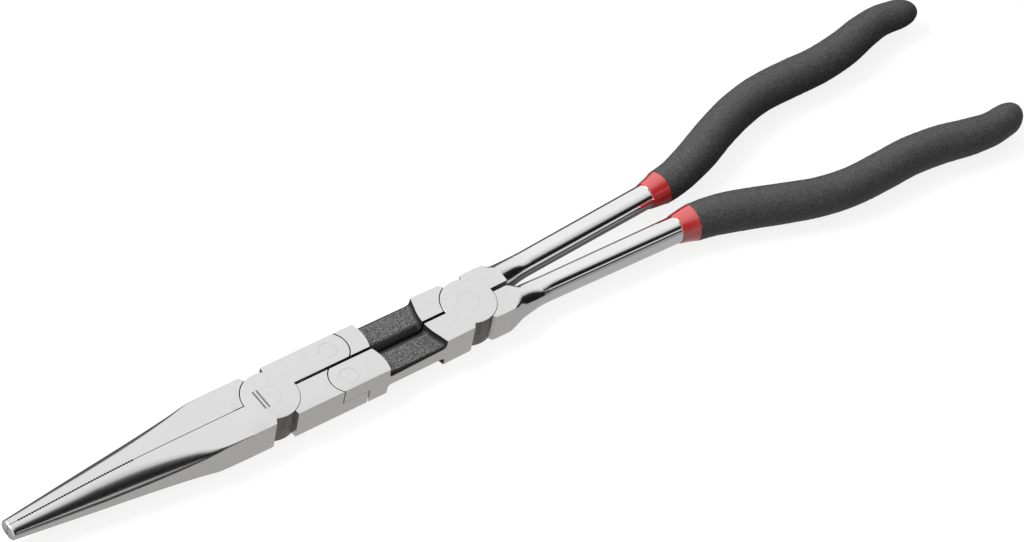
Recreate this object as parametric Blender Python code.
"""Double-joint long-nose pliers, 340 mm long.

Two jaws cross at the front pivot and two handles cross at the rear pivot. Each jaw's
tail is pinned to the forward arm of a handle, so the four forgings make a kite-shaped
four-bar linkage: spreading the grips a little opens the jaws about twice as far.

Tool frame: the front pivot is the origin, +X runs towards the grips, +Y is the right
side with the jaws pointing away, and z = 0 is the mid-plane of the forgings. Sizes are
in millimetres here and become metres when a mesh is made.
"""
import math

import bmesh
import bpy
from mathutils import Matrix, Vector

MM = 0.001

# Driving dimensions (mm, degrees).
HALF_THICKNESS = 4.92        # of the jaws, laps and handle joint
GAP = 0.3                    # between pieces that touch or turn on each other
LINKAGE_PLAY = 0.2           # extra clearance of the left handle on the right link pin
PIVOT_SPACING = 67.06        # front pivot to rear pivot, closed
LINK_X = 22.75               # link pins, from the front pivot
LINK_Y = 5.12
FRONT_DISC_R = 8.19          # round lap joint of the jaws
REAR_DISC_R = 8.0            # round lap joint of the handles
JAW_LAP_R = 6.04             # round end of a jaw's tail
ARM_LAP_R = 5.78             # round end of a handle's forward arm
LINK_PIN_R = 2.59
RIVET_R = 3.2
TAIL_HALF_WIDTH = 9.28       # outer edge of the tails and laps, from the centre line
ARM_HALF_WIDTH = 8.78        # outer edge of the arms at the rear joint
TAIL_SLOT = 0.42             # half the slot between the tails
REAR_SLOT = 0.64             # half the slot between the handles' rear bodies
JAW_LENGTH = 84.0            # front pivot to the tip
NOSE_ROOT_X = -12.0          # where the nose begins to round
NOSE_ROOT_HALF_WIDTH = 9.18
NOSE_TAPER_START_X = -22.0   # the plan outline tapers from here to the tip
NOSE_BELLY = 0.25            # outward bow of the taper half way along
NOSE_TIP_HALF_WIDTH = 3.0
NOSE_TIP_HALF_HEIGHT = 2.15
NOSE_HEIGHT_TAPER_X = -48.0  # the nose keeps its full height to here
SIDE_FLAT = ((-84.0, 0.65), (-54.0, 1.6), (-38.0, 2.5), (-21.0, 4.5), (-12.0, 4.82))
NOSE_ARC_DEG = 52.0          # angle of the half-round where it meets the flat side
TOOTH_PITCH = 0.85
TOOTH_DEPTH = 0.3
TOOTH_START_X = -81.0
TOOTH_COUNT = 43
NOSE_STATIONS = (-84.0, -83.4, -72.0, -60.0, -54.0, -48.0, -40.0, -32.0, -26.0, -22.0, -17.0)
TIP_BEVEL = 0.5              # round the blunt tip
ROOT_OVERLAP = 0.6           # the nose and the shank run this far into their plates
HAIR = 0.02                  # keeps overlapping faces from lying in one plane
FORWARD_SHOULDER_INNER = (-3.1, 7.58)   # nose shoulder of the front joint, at the disc
FORWARD_SHOULDER_OUTER = (-4.05, 9.18)
TAIL_SHOULDER_INNER = (2.95, 7.64)
TAIL_SHOULDER_OUTER = (3.14, 9.28)
RECESS_FRONT_R = 11.8        # forged recess: its front edge is round about the link pin
RECESS_REAR_R = 15.6         # and its rear edge is round about the rear pivot
RECESS_DEPTH = 2.3
ARM_SHOULDER_DEG = 112.5     # where the arm's shoulder leaves the rear disc
ARM_SHOULDER_X = -4.06       # its outer corner, from the rear pivot
BODY_SHOULDER_DEG = 290.5    # where the rear body's shoulder leaves the disc
BODY_SHOULDER_X = 3.35       # its outer corner, from the rear pivot
BODY_CORNER_X = 4.6          # where that corner's small bevel ends
BODY_CORNER_DROP = 0.15
BODY_HALF_WIDTH = 4.08       # rear body of a handle
BODY_END_X = 76.3
FLARE_R = 6.35               # the body runs down to the round shank in a flare
FLARE_POWER = 1.6
FLARE_START = 1.6            # first ring of the flare, from the body's end
FLARE_STATIONS = (80.2, 82.6, 85.5, 89.0)
SHANK_SWEEP = 1.5            # how late the flare swings out from the body's line
SHANK_START_X = 89.0
SHANK_START_Y = 5.14
SHANK_END_X = 138.3
SHANK_END_Y = 7.15
SHANK_START_R = 3.6
SHANK_END_R = 3.8
CORE_R = 3.1                 # the bar inside the sleeve and the grip
CORE_END_X = 245.0
SLEEVE_REAR_X = 150.0
SLEEVE_FRONT_R = 4.1
SLEEVE_REAR_R = 5.15
SLEEVE_BEVEL = 0.25
TUCK_R = 4.6                 # the sleeve where the grip covers it
TUCK_STATIONS = (146.5, 148.5)
TUCK_STEP = (0.55, 0.5)      # the step down to it, in front of the grip
GRIP_FRONT_X = 143.05
GRIP_END_X = 254.6
GRIP_END_Y = 22.4
GRIP_END_FULLNESS = 0.35     # the last ring of the rounded end stays this far open
GRIP_END_HOOK = 1.4          # how late the end curls inwards
HANDLE_LEAN_DEG = 1.5        # both handles are set this much towards +Y

# Centre line of the right grip before the lean, with the grip's radius at each point.
GRIP_LINE = (
    (143.05, 7.45, 5.3), (148.5, 8.15, 5.6), (154.0, 9.75, 5.8), (162.0, 12.4, 6.0),
    (171.0, 15.65, 6.0), (181.0, 18.9, 5.95), (191.5, 20.85, 5.88), (203.0, 20.95, 5.85),
    (214.0, 20.7, 5.85), (225.0, 21.95, 5.8), (234.0, 23.85, 5.5), (241.5, 24.85, 5.2),
    (247.5, 24.5, 4.95),
)

DISC_STEPS = 48
NOSE_ARC_STEPS = 6
TUBE_SIDES = 20
GRIP_SIDES = 16
LINE_STEPS = 2
END_STEPS = 5

REAR_PIVOT = Vector((PIVOT_SPACING, 0.0, 0.0))
FRONT_PIVOT = Vector((0.0, 0.0, 0.0))
RIGHT_LINK = Vector((LINK_X, LINK_Y, 0.0))
LEFT_LINK = Vector((LINK_X, -LINK_Y, 0.0))


def clear_scene():
    for obj in list(bpy.data.objects):
        bpy.data.objects.remove(obj, do_unlink=True)


def make_material(name, colour, roughness, metallic):
    material = bpy.data.materials.new(name)
    material.use_nodes = True
    shader = material.node_tree.nodes["Principled BSDF"]
    shader.inputs["Base Color"].default_value = (*colour, 1.0)
    shader.inputs["Roughness"].default_value = roughness
    shader.inputs["Metallic"].default_value = metallic
    return material


def mesh_object(name, bm):
    """Turn a bmesh drawn in millimetres into an object, with its faces pointing out."""
    bmesh.ops.scale(bm, vec=(MM, MM, MM), verts=bm.verts)
    bmesh.ops.recalc_face_normals(bm, faces=bm.faces)
    mesh = bpy.data.meshes.new(name)
    bm.to_mesh(mesh)
    bm.free()
    obj = bpy.data.objects.new(name, mesh)
    bpy.context.scene.collection.objects.link(obj)
    return obj


def arc(centre, radius, start, end, steps):
    """Points on an arc in the plan, from angle start to angle end in radians."""
    points = []
    for i in range(steps + 1):
        angle = start + (end - start) * i / steps
        points.append((centre[0] + radius * math.cos(angle), centre[1] + radius * math.sin(angle)))
    return points


def arc_steps(start, end):
    """Keep every arc as finely divided as a full disc."""
    return max(2, round(DISC_STEPS * abs(end - start) / (2.0 * math.pi)))


def fine_arc(centre, radius, start, end):
    return arc(centre, radius, start, end, arc_steps(start, end))


def prism(name, outline, low, high):
    """A flat-ended solid over a closed plan outline."""
    bm = bmesh.new()
    face = bm.faces.new([bm.verts.new((x, y, low)) for x, y in outline])
    extruded = bmesh.ops.extrude_face_region(bm, geom=[face])
    top = [item for item in extruded["geom"] if isinstance(item, bmesh.types.BMVert)]
    bmesh.ops.translate(bm, verts=top, vec=(0.0, 0.0, high - low))
    return mesh_object(name, bm)


def drum(name, centre, radius, low, high):
    """An upright cylinder."""
    bm = bmesh.new()
    place = Matrix.Translation((centre[0], centre[1], (low + high) / 2.0))
    bmesh.ops.create_cone(bm, cap_ends=True, segments=DISC_STEPS, radius1=radius,
                          radius2=radius, depth=high - low, matrix=place)
    return mesh_object(name, bm)


def skin(name, rings, closed=False):
    """A solid drawn over rings of equally many points, capped unless it closes on itself."""
    bm = bmesh.new()
    loops = [[bm.verts.new(point) for point in ring] for ring in rings]
    count = len(loops)
    size = len(loops[0])
    for i in range(count if closed else count - 1):
        near = loops[i]
        far = loops[(i + 1) % count]
        for j in range(size):
            k = (j + 1) % size
            bm.faces.new((near[j], near[k], far[k], far[j]))
    if not closed:
        bm.faces.new(loops[0])
        bm.faces.new(list(reversed(loops[-1])))
    return mesh_object(name, bm)


def combine(target, tool, operation):
    """Apply one Boolean to the target and discard the tool."""
    modifier = target.modifiers.new(operation.lower(), "BOOLEAN")
    modifier.operation = operation
    modifier.solver = "EXACT"
    modifier.object = tool
    graph = bpy.context.evaluated_depsgraph_get()
    result = bpy.data.meshes.new_from_object(target.evaluated_get(graph))
    target.modifiers.clear()
    target.data = result
    bpy.data.objects.remove(tool, do_unlink=True)


def cut(target, tool):
    combine(target, tool, "DIFFERENCE")


def join(target, tool):
    combine(target, tool, "UNION")


def turn_over(obj):
    """Half a turn about the long axis, which changes a left forging into a right one."""
    obj.data.transform(Matrix.Rotation(math.pi, 4, "X"))


def catmull(knots, steps):
    """A smooth line through the knots, with steps points in each span."""
    points = []
    for i in range(len(knots) - 1):
        before = knots[max(i - 1, 0)]
        start = knots[i]
        end = knots[i + 1]
        after = knots[min(i + 2, len(knots) - 1)]
        for j in range(steps):
            t = j / steps
            points.append(tuple(
                0.5 * (2.0 * b + (c - a) * t + (2.0 * a - 5.0 * b + 4.0 * c - d) * t ** 2
                       + (3.0 * b - a - 3.0 * c + d) * t ** 3)
                for a, b, c, d in zip(before, start, end, after)))
    points.append(knots[-1])
    return points


def leaned(x, y, side, lean_deg=HANDLE_LEAN_DEG):
    """A point of a handle's centre line on one side, after the lean about the rear pivot."""
    lean = math.radians(lean_deg)
    dx = x - PIVOT_SPACING
    dy = y * side
    return (PIVOT_SPACING + dx * math.cos(lean) - dy * math.sin(lean),
            dx * math.sin(lean) + dy * math.cos(lean))


def ring_round(centre, direction, radius, sides, half_width=None, half_height=None):
    """A ring square to a plan direction, clipped to a box where one is given."""
    normal = Vector((-direction[1], direction[0], 0.0)).normalized()
    points = []
    for j in range(sides):
        angle = 2.0 * math.pi * (j + 0.5) / sides
        reach = radius
        if half_width is not None:
            reach = min(reach, half_width / max(abs(math.cos(angle)), 1e-6),
                        half_height / max(abs(math.sin(angle)), 1e-6))
        offset = normal * (reach * math.cos(angle))
        points.append(Vector((centre[0], centre[1], 0.0)) + offset
                      + Vector((0.0, 0.0, reach * math.sin(angle))))
    return points


def directions(line):
    """The plan direction of a line at each of its points."""
    result = []
    for i in range(len(line)):
        start = line[max(i - 1, 0)]
        end = line[min(i + 1, len(line) - 1)]
        result.append((end[0] - start[0], end[1] - start[1]))
    return result


# Jaws ------------------------------------------------------------------------------

def nose_half_width(x):
    """Plan half width of the closed nose at x: parallel at the root, then a bowed taper."""
    t = min(1.0, max(0.0, (NOSE_TAPER_START_X - x) / (JAW_LENGTH + NOSE_TAPER_START_X)))
    taper = NOSE_ROOT_HALF_WIDTH + (NOSE_TIP_HALF_WIDTH - NOSE_ROOT_HALF_WIDTH) * t
    return taper + NOSE_BELLY * math.sin(math.pi * t)


def nose_half_height(x):
    if x >= NOSE_HEIGHT_TAPER_X:
        return HALF_THICKNESS
    t = (NOSE_HEIGHT_TAPER_X - x) / (JAW_LENGTH + NOSE_HEIGHT_TAPER_X)
    return HALF_THICKNESS + (NOSE_TIP_HALF_HEIGHT - HALF_THICKNESS) * t


def side_flat(x):
    """Half height of the flat side of the nose at x."""
    for (x0, f0), (x1, f1) in zip(SIDE_FLAT, SIDE_FLAT[1:]):
        if x <= x1:
            return f0 + (f1 - f0) * (x - x0) / (x1 - x0)
    return SIDE_FLAT[-1][1]


def nose_ring(x, inset=0.0):
    """Half of the nose's section: flat inside, half-round above and below a flat side."""
    half_width = nose_half_width(x) - inset
    half_height = nose_half_height(x) - inset
    side = min(side_flat(x), half_height - 0.05)
    drop = half_height - side
    angle = max(math.radians(NOSE_ARC_DEG), 2.0 * math.atan(drop / (half_width - GAP)))
    radius = drop / (1.0 - math.cos(angle))
    flat_end = half_width - radius * math.sin(angle)
    upper = []
    for i in range(NOSE_ARC_STEPS + 1):
        turn = angle * i / NOSE_ARC_STEPS
        upper.append(Vector((x, -flat_end - radius * math.sin(turn),
                             half_height - radius * (1.0 - math.cos(turn)))))
    lower = [Vector((p.x, p.y, -p.z)) for p in reversed(upper)]
    inner = -GAP / 2.0 - inset
    return [Vector((x, inner, half_height))] + upper + lower + [Vector((x, inner, -half_height))]


def nose(name):
    """The half-round nose of the left jaw, running a little into its plate."""
    rings = []
    for x in NOSE_STATIONS:
        rings.append(nose_ring(x, TIP_BEVEL if x == NOSE_STATIONS[0] else 0.0))
    rings.append(nose_ring(NOSE_ROOT_X))
    step = Vector((ROOT_OVERLAP, 0.0, 0.0))
    rings.append([point + step for point in nose_ring(NOSE_ROOT_X, HAIR)])
    return skin(name, rings)


def tooth_comb(name):
    """A comb that cuts the cross teeth into the gripping face."""
    crest = -GAP / 2.0
    back = crest + 4.0 * TOOTH_DEPTH
    outline = [(TOOTH_START_X, back), (TOOTH_START_X, crest)]
    for i in range(TOOTH_COUNT):
        x = TOOTH_START_X + i * TOOTH_PITCH
        outline.append((x + TOOTH_PITCH / 2.0, crest - TOOTH_DEPTH))
        outline.append((x + TOOTH_PITCH, crest))
    outline.append((outline[-1][0], back))
    return prism(name, outline, -2.0 * HALF_THICKNESS, 2.0 * HALF_THICKNESS)


def jaw_plate(name):
    """Plan of the left jaw behind its nose: block, disc and tail, at full thickness."""
    inner = -GAP / 2.0
    plate_start = NOSE_ROOT_X + 0.1
    tail_inner = math.asin((TAIL_SLOT - LINK_Y) / JAW_LAP_R)
    tail_outer = math.asin((TAIL_HALF_WIDTH - LINK_Y) / JAW_LAP_R)
    over = math.pi + math.asin(GAP / 2.0 / FRONT_DISC_R)
    tail_angle = math.atan2(TAIL_SHOULDER_INNER[1], TAIL_SHOULDER_INNER[0])
    slot_angle = math.asin(TAIL_SLOT / FRONT_DISC_R)
    nose_angle = math.atan2(-FORWARD_SHOULDER_INNER[1], FORWARD_SHOULDER_INNER[0])
    outline = [(plate_start, inner)]
    outline += fine_arc(FRONT_PIVOT, FRONT_DISC_R, over, tail_angle)
    outline.append(TAIL_SHOULDER_OUTER)
    outline += fine_arc(RIGHT_LINK, JAW_LAP_R, tail_outer, tail_inner)
    outline += fine_arc(FRONT_PIVOT, FRONT_DISC_R, slot_angle, nose_angle)
    outline.append((FORWARD_SHOULDER_OUTER[0], -FORWARD_SHOULDER_OUTER[1]))
    outline.append((plate_start, -NOSE_ROOT_HALF_WIDTH))
    return prism(name, outline, -HALF_THICKNESS, HALF_THICKNESS)


def left_jaw_shape(name):
    """The left jaw: its disc and its link lap are the upper halves of their joints."""
    jaw = jaw_plate(name)
    join(jaw, nose("nose"))
    deep = 2.0 * HALF_THICKNESS
    cut(jaw, drum("disc_pocket", FRONT_PIVOT, FRONT_DISC_R + GAP, -deep, GAP / 2.0))
    cut(jaw, drum("lap_pocket", RIGHT_LINK, ARM_LAP_R + GAP, -deep, GAP / 2.0))
    cut(jaw, drum("rivet_hole", FRONT_PIVOT, RIVET_R + GAP, -deep, deep))
    cut(jaw, drum("pin_hole", RIGHT_LINK, LINK_PIN_R + GAP, -deep, deep))
    cut(jaw, tooth_comb("teeth"))
    return jaw


# Handles ---------------------------------------------------------------------------

def handle_plate(name):
    """Plan of the left handle: forward arm on +Y, disc, and rear body on -Y."""
    lap_outer = math.pi - math.asin((TAIL_HALF_WIDTH - LINK_Y) / ARM_LAP_R)
    lap_inner = math.pi - math.asin((TAIL_SLOT - LINK_Y) / ARM_LAP_R)
    front_slot = math.pi - math.asin(TAIL_SLOT / REAR_DISC_R)
    body_angle = math.radians(BODY_SHOULDER_DEG)
    rear_slot = -math.asin(REAR_SLOT / REAR_DISC_R)
    arm_angle = math.radians(ARM_SHOULDER_DEG)
    outer = -REAR_SLOT - 2.0 * BODY_HALF_WIDTH
    outline = fine_arc(RIGHT_LINK, ARM_LAP_R, lap_outer, lap_inner)
    outline += fine_arc(REAR_PIVOT, REAR_DISC_R, front_slot, body_angle)
    outline.append((PIVOT_SPACING + BODY_SHOULDER_X, outer + BODY_CORNER_DROP))
    outline.append((PIVOT_SPACING + BODY_CORNER_X, outer))
    outline.append((BODY_END_X, outer))
    outline.append((BODY_END_X, -REAR_SLOT))
    outline += fine_arc(REAR_PIVOT, REAR_DISC_R, rear_slot, arm_angle)
    outline.append((PIVOT_SPACING + ARM_SHOULDER_X, ARM_HALF_WIDTH))
    outline.append((LINK_X + RECESS_FRONT_R, TAIL_HALF_WIDTH))
    return prism(name, outline, -HALF_THICKNESS, HALF_THICKNESS)


def recess_cutter(name, low, high):
    """The forged recess between the link lap and the rear joint, on one face of the arm."""
    wide = 2.0
    top = TAIL_HALF_WIDTH + wide
    bottom = -wide
    front = fine_arc(RIGHT_LINK, RECESS_FRONT_R, math.asin((bottom - LINK_Y) / RECESS_FRONT_R),
                     math.asin((top - LINK_Y) / RECESS_FRONT_R))
    rear = fine_arc(REAR_PIVOT, RECESS_REAR_R, math.pi - math.asin(top / RECESS_REAR_R),
                    math.pi - math.asin(bottom / RECESS_REAR_R))
    return prism(name, front + rear, low, high)


def shank_radius(x):
    """The flare from the rear body down to the round shank."""
    if x < SHANK_START_X:
        t = (SHANK_START_X - x) / (SHANK_START_X - BODY_END_X)
        return SHANK_START_R + (FLARE_R - SHANK_START_R) * max(t, 0.0) ** FLARE_POWER
    t = (x - SHANK_START_X) / (SHANK_END_X - SHANK_START_X)
    return SHANK_START_R + (SHANK_END_R - SHANK_START_R) * t


def shank(name, lean_deg):
    """The left handle's round shank and the bar in its grip, starting inside the body."""
    side = -1.0
    body_y = (REAR_SLOT + BODY_HALF_WIDTH) * side
    root = leaned(SHANK_START_X, SHANK_START_Y, side, lean_deg)
    shoulder = leaned(SHANK_END_X, SHANK_END_Y, side, lean_deg)
    flare_x = BODY_END_X + FLARE_START
    line = [(BODY_END_X - ROOT_OVERLAP, body_y), (BODY_END_X, body_y), (flare_x, body_y)]
    radii = [FLARE_R, FLARE_R, shank_radius(flare_x)]
    straight = len(line)
    for x in FLARE_STATIONS:
        t = (x - BODY_END_X) / (SHANK_START_X - BODY_END_X)
        line.append((x, body_y + (root[1] - body_y) * t ** SHANK_SWEEP))
        radii.append(shank_radius(x))
    last = len(line) - 1
    line += [shoulder, shoulder]
    radii += [SHANK_END_R, CORE_R]
    for x, y, _ in catmull(GRIP_LINE, LINE_STEPS):
        if x < CORE_END_X:
            line.append(leaned(x, y, side, lean_deg))
            radii.append(CORE_R)
    rings = []
    steps = directions(line)
    steps[last + 1] = steps[last + 2] = steps[last]
    for i, (centre, step, radius) in enumerate(zip(line, steps, radii)):
        shrink = HAIR if i == 0 else 0.0
        along = (1.0, 0.0) if i < straight else step
        rings.append(ring_round(centre, along, radius, TUBE_SIDES,
                                BODY_HALF_WIDTH - shrink, HALF_THICKNESS - shrink))
    return skin(name, rings)


def left_handle_shape(name, lean_deg, link_hole_r):
    """The left handle: its disc and its link lap are the lower halves of their joints."""
    handle = handle_plate(name)
    deep = 2.0 * HALF_THICKNESS
    cut(handle, drum("disc_pocket", REAR_PIVOT, REAR_DISC_R + GAP, -GAP / 2.0, deep))
    cut(handle, drum("lap_pocket", RIGHT_LINK, JAW_LAP_R + GAP, -GAP / 2.0, deep))
    cut(handle, drum("rivet_hole", REAR_PIVOT, RIVET_R + GAP, -deep, deep))
    cut(handle, drum("pin_hole", RIGHT_LINK, link_hole_r, -deep, deep))
    floor = HALF_THICKNESS - RECESS_DEPTH
    cut(handle, recess_cutter("upper_recess", floor, deep))
    cut(handle, recess_cutter("lower_recess", -deep, -floor))
    join(handle, shank("shank", lean_deg))
    return handle


# Sleeves and grips -----------------------------------------------------------------

def centre_line(side):
    """Centre line from the end of the shank to the end of the grip, with radii."""
    start = [(SHANK_END_X, SHANK_END_Y, SHANK_END_R)]
    return [(*leaned(x, y, side), r) for x, y, r in catmull(start + list(GRIP_LINE), LINE_STEPS)]


def at_x(line, x):
    """The point and direction of a line where it passes x."""
    for start, end in zip(line, line[1:]):
        if start[0] <= x <= end[0]:
            t = (x - start[0]) / (end[0] - start[0])
            point = (x, start[1] + (end[1] - start[1]) * t)
            return point, (end[0] - start[0], end[1] - start[1])
    raise ValueError("x lies off the line")


def sleeve(name, side):
    """The red sleeve: its front shows, and the grip covers its rear."""
    line = centre_line(side)
    front_x = line[0][0] + 2.0 * GAP
    outer = [(front_x, SLEEVE_FRONT_R - SLEEVE_BEVEL), (front_x + SLEEVE_BEVEL, SLEEVE_FRONT_R),
             (GRIP_FRONT_X - TUCK_STEP[0], SLEEVE_REAR_R), (GRIP_FRONT_X - TUCK_STEP[1], TUCK_R)]
    outer += [(x, TUCK_R) for x in (*TUCK_STATIONS, SLEEVE_REAR_X)]
    middle = (front_x + GRIP_FRONT_X) / 2.0
    inner = [(x, CORE_R + GAP) for x in (front_x, middle, GRIP_FRONT_X, *TUCK_STATIONS,
                                         SLEEVE_REAR_X)]
    rings = []
    for x, radius in outer + inner[::-1]:
        point, along = at_x(line, x)
        rings.append(ring_round(point, along, radius, GRIP_SIDES))
    return skin(name, rings, closed=True)


def grip(name, side):
    """The dipped grip: open at the front over the sleeve, round at the end."""
    line = centre_line(side)
    rings = []
    bore = []
    for x, y, _ in catmull(GRIP_LINE, LINE_STEPS):
        if SLEEVE_REAR_X + 3.0 * GAP < x < CORE_END_X:
            bore.append(leaned(x, y, side))
    bore.append(leaned(CORE_END_X + 2.0 * GAP, at_x(GRIP_LINE, CORE_END_X)[0][1], side))
    for centre, along in reversed(list(zip(bore, directions(bore)))):
        rings.append(ring_round(centre, along, CORE_R + GAP, GRIP_SIDES))
    socket = [(SLEEVE_REAR_X + GAP, CORE_R + GAP), (SLEEVE_REAR_X + GAP, TUCK_R + GAP)]
    socket += [(x, TUCK_R + GAP) for x in (*TUCK_STATIONS[::-1], GRIP_FRONT_X)]
    for x, radius in socket:
        point, along = at_x(line, x)
        rings.append(ring_round(point, along, radius, GRIP_SIDES))
    outer = [(*leaned(x, y, side), r) for x, y, r in catmull(GRIP_LINE, LINE_STEPS)]
    last = outer[-1]
    end = leaned(GRIP_END_X, GRIP_END_Y, side)
    for i in range(1, END_STEPS + 1):
        t = math.sin(math.pi / 2.0 * i / (END_STEPS + GRIP_END_FULLNESS))
        outer.append((last[0] + (end[0] - last[0]) * t,
                      last[1] + (end[1] - last[1]) * t ** GRIP_END_HOOK,
                      last[2] * math.sqrt(1.0 - t ** 2)))
    for point, along in zip(outer, directions(outer)):
        rings.append(ring_round(point, along, point[2], GRIP_SIDES))
    return skin(name, rings)


# Assembly --------------------------------------------------------------------------

def finish(obj, material, pivot, parent):
    """Give a piece its material and smooth shading, and put its origin on its joint."""
    obj.data.materials.clear()
    obj.data.materials.append(material)
    obj.data.shade_smooth()
    obj.data.set_sharp_from_angle(angle=math.radians(35.0))
    obj.data.transform(Matrix.Translation(-pivot * MM))
    obj.parent = parent


def pivot_empty(name, position, parent=None):
    empty = bpy.data.objects.new(name, None)
    empty.location = position * MM
    empty.parent = parent
    bpy.context.scene.collection.objects.link(empty)
    return empty


def box_of(objects):
    """Lowest and highest corners of some objects in the tool frame."""
    bpy.context.view_layer.update()
    points = []
    for obj in objects:
        points += [obj.matrix_world @ vertex.co for vertex in obj.data.vertices]
    low = Vector([min(p[i] for p in points) for i in range(3)])
    high = Vector([max(p[i] for p in points) for i in range(3)])
    return low, high


def build():
    clear_scene()
    jaw_steel = make_material("jaw_steel", (0.74, 0.74, 0.75), 0.2, 1.0)
    handle_steel = make_material("handle_steel", (0.70, 0.70, 0.71), 0.25, 1.0)
    pin_steel = make_material("pin_steel", (0.68, 0.68, 0.69), 0.3, 1.0)
    red_vinyl = make_material("red_vinyl", (0.55, 0.04, 0.03), 0.3, 0.0)
    black_vinyl = make_material("black_vinyl", (0.03, 0.03, 0.033), 0.7, 0.0)

    tool = pivot_empty("tool_frame", FRONT_PIVOT)
    front = pivot_empty("front_pivot", FRONT_PIVOT, tool)
    rear = pivot_empty("rear_pivot", REAR_PIVOT, tool)
    left_link = pivot_empty("left_link", LEFT_LINK, tool)

    left_jaw = left_jaw_shape("left_jaw")
    right_jaw = left_jaw_shape("right_jaw")
    turn_over(right_jaw)
    hole_r = LINK_PIN_R + GAP
    left_handle = left_handle_shape("left_handle", HANDLE_LEAN_DEG, hole_r + LINKAGE_PLAY)
    right_handle = left_handle_shape("right_handle", -HANDLE_LEAN_DEG, hole_r)
    turn_over(right_handle)
    pieces = [left_jaw, right_jaw, left_handle, right_handle]

    finish(left_jaw, jaw_steel, FRONT_PIVOT, front)
    finish(right_jaw, jaw_steel, LEFT_LINK, left_link)
    finish(left_handle, handle_steel, REAR_PIVOT, rear)
    finish(right_handle, handle_steel, REAR_PIVOT, rear)
    round_pieces = (("front_rivet", FRONT_PIVOT, RIVET_R, front),
                    ("rear_rivet", REAR_PIVOT, RIVET_R, rear),
                    ("right_link_pin", RIGHT_LINK, LINK_PIN_R, front),
                    ("left_link_pin", LEFT_LINK, LINK_PIN_R, left_link))
    for name, centre, radius, parent in round_pieces:
        piece = drum(name, centre, radius, -HALF_THICKNESS, HALF_THICKNESS)
        finish(piece, pin_steel, Vector(parent.location) / MM, parent)
        pieces.append(piece)
    for word, side in (("left", -1.0), ("right", 1.0)):
        red = sleeve(word + "_sleeve", side)
        finish(red, red_vinyl, REAR_PIVOT, rear)
        black = grip(word + "_grip", side)
        finish(black, black_vinyl, REAR_PIVOT, rear)
        pieces += [red, black]

    low, high = box_of(pieces)
    tool.location = (-(low.x + high.x) / 2.0, -(low.y + high.y) / 2.0, -low.z)
    bpy.context.view_layer.update()


build()
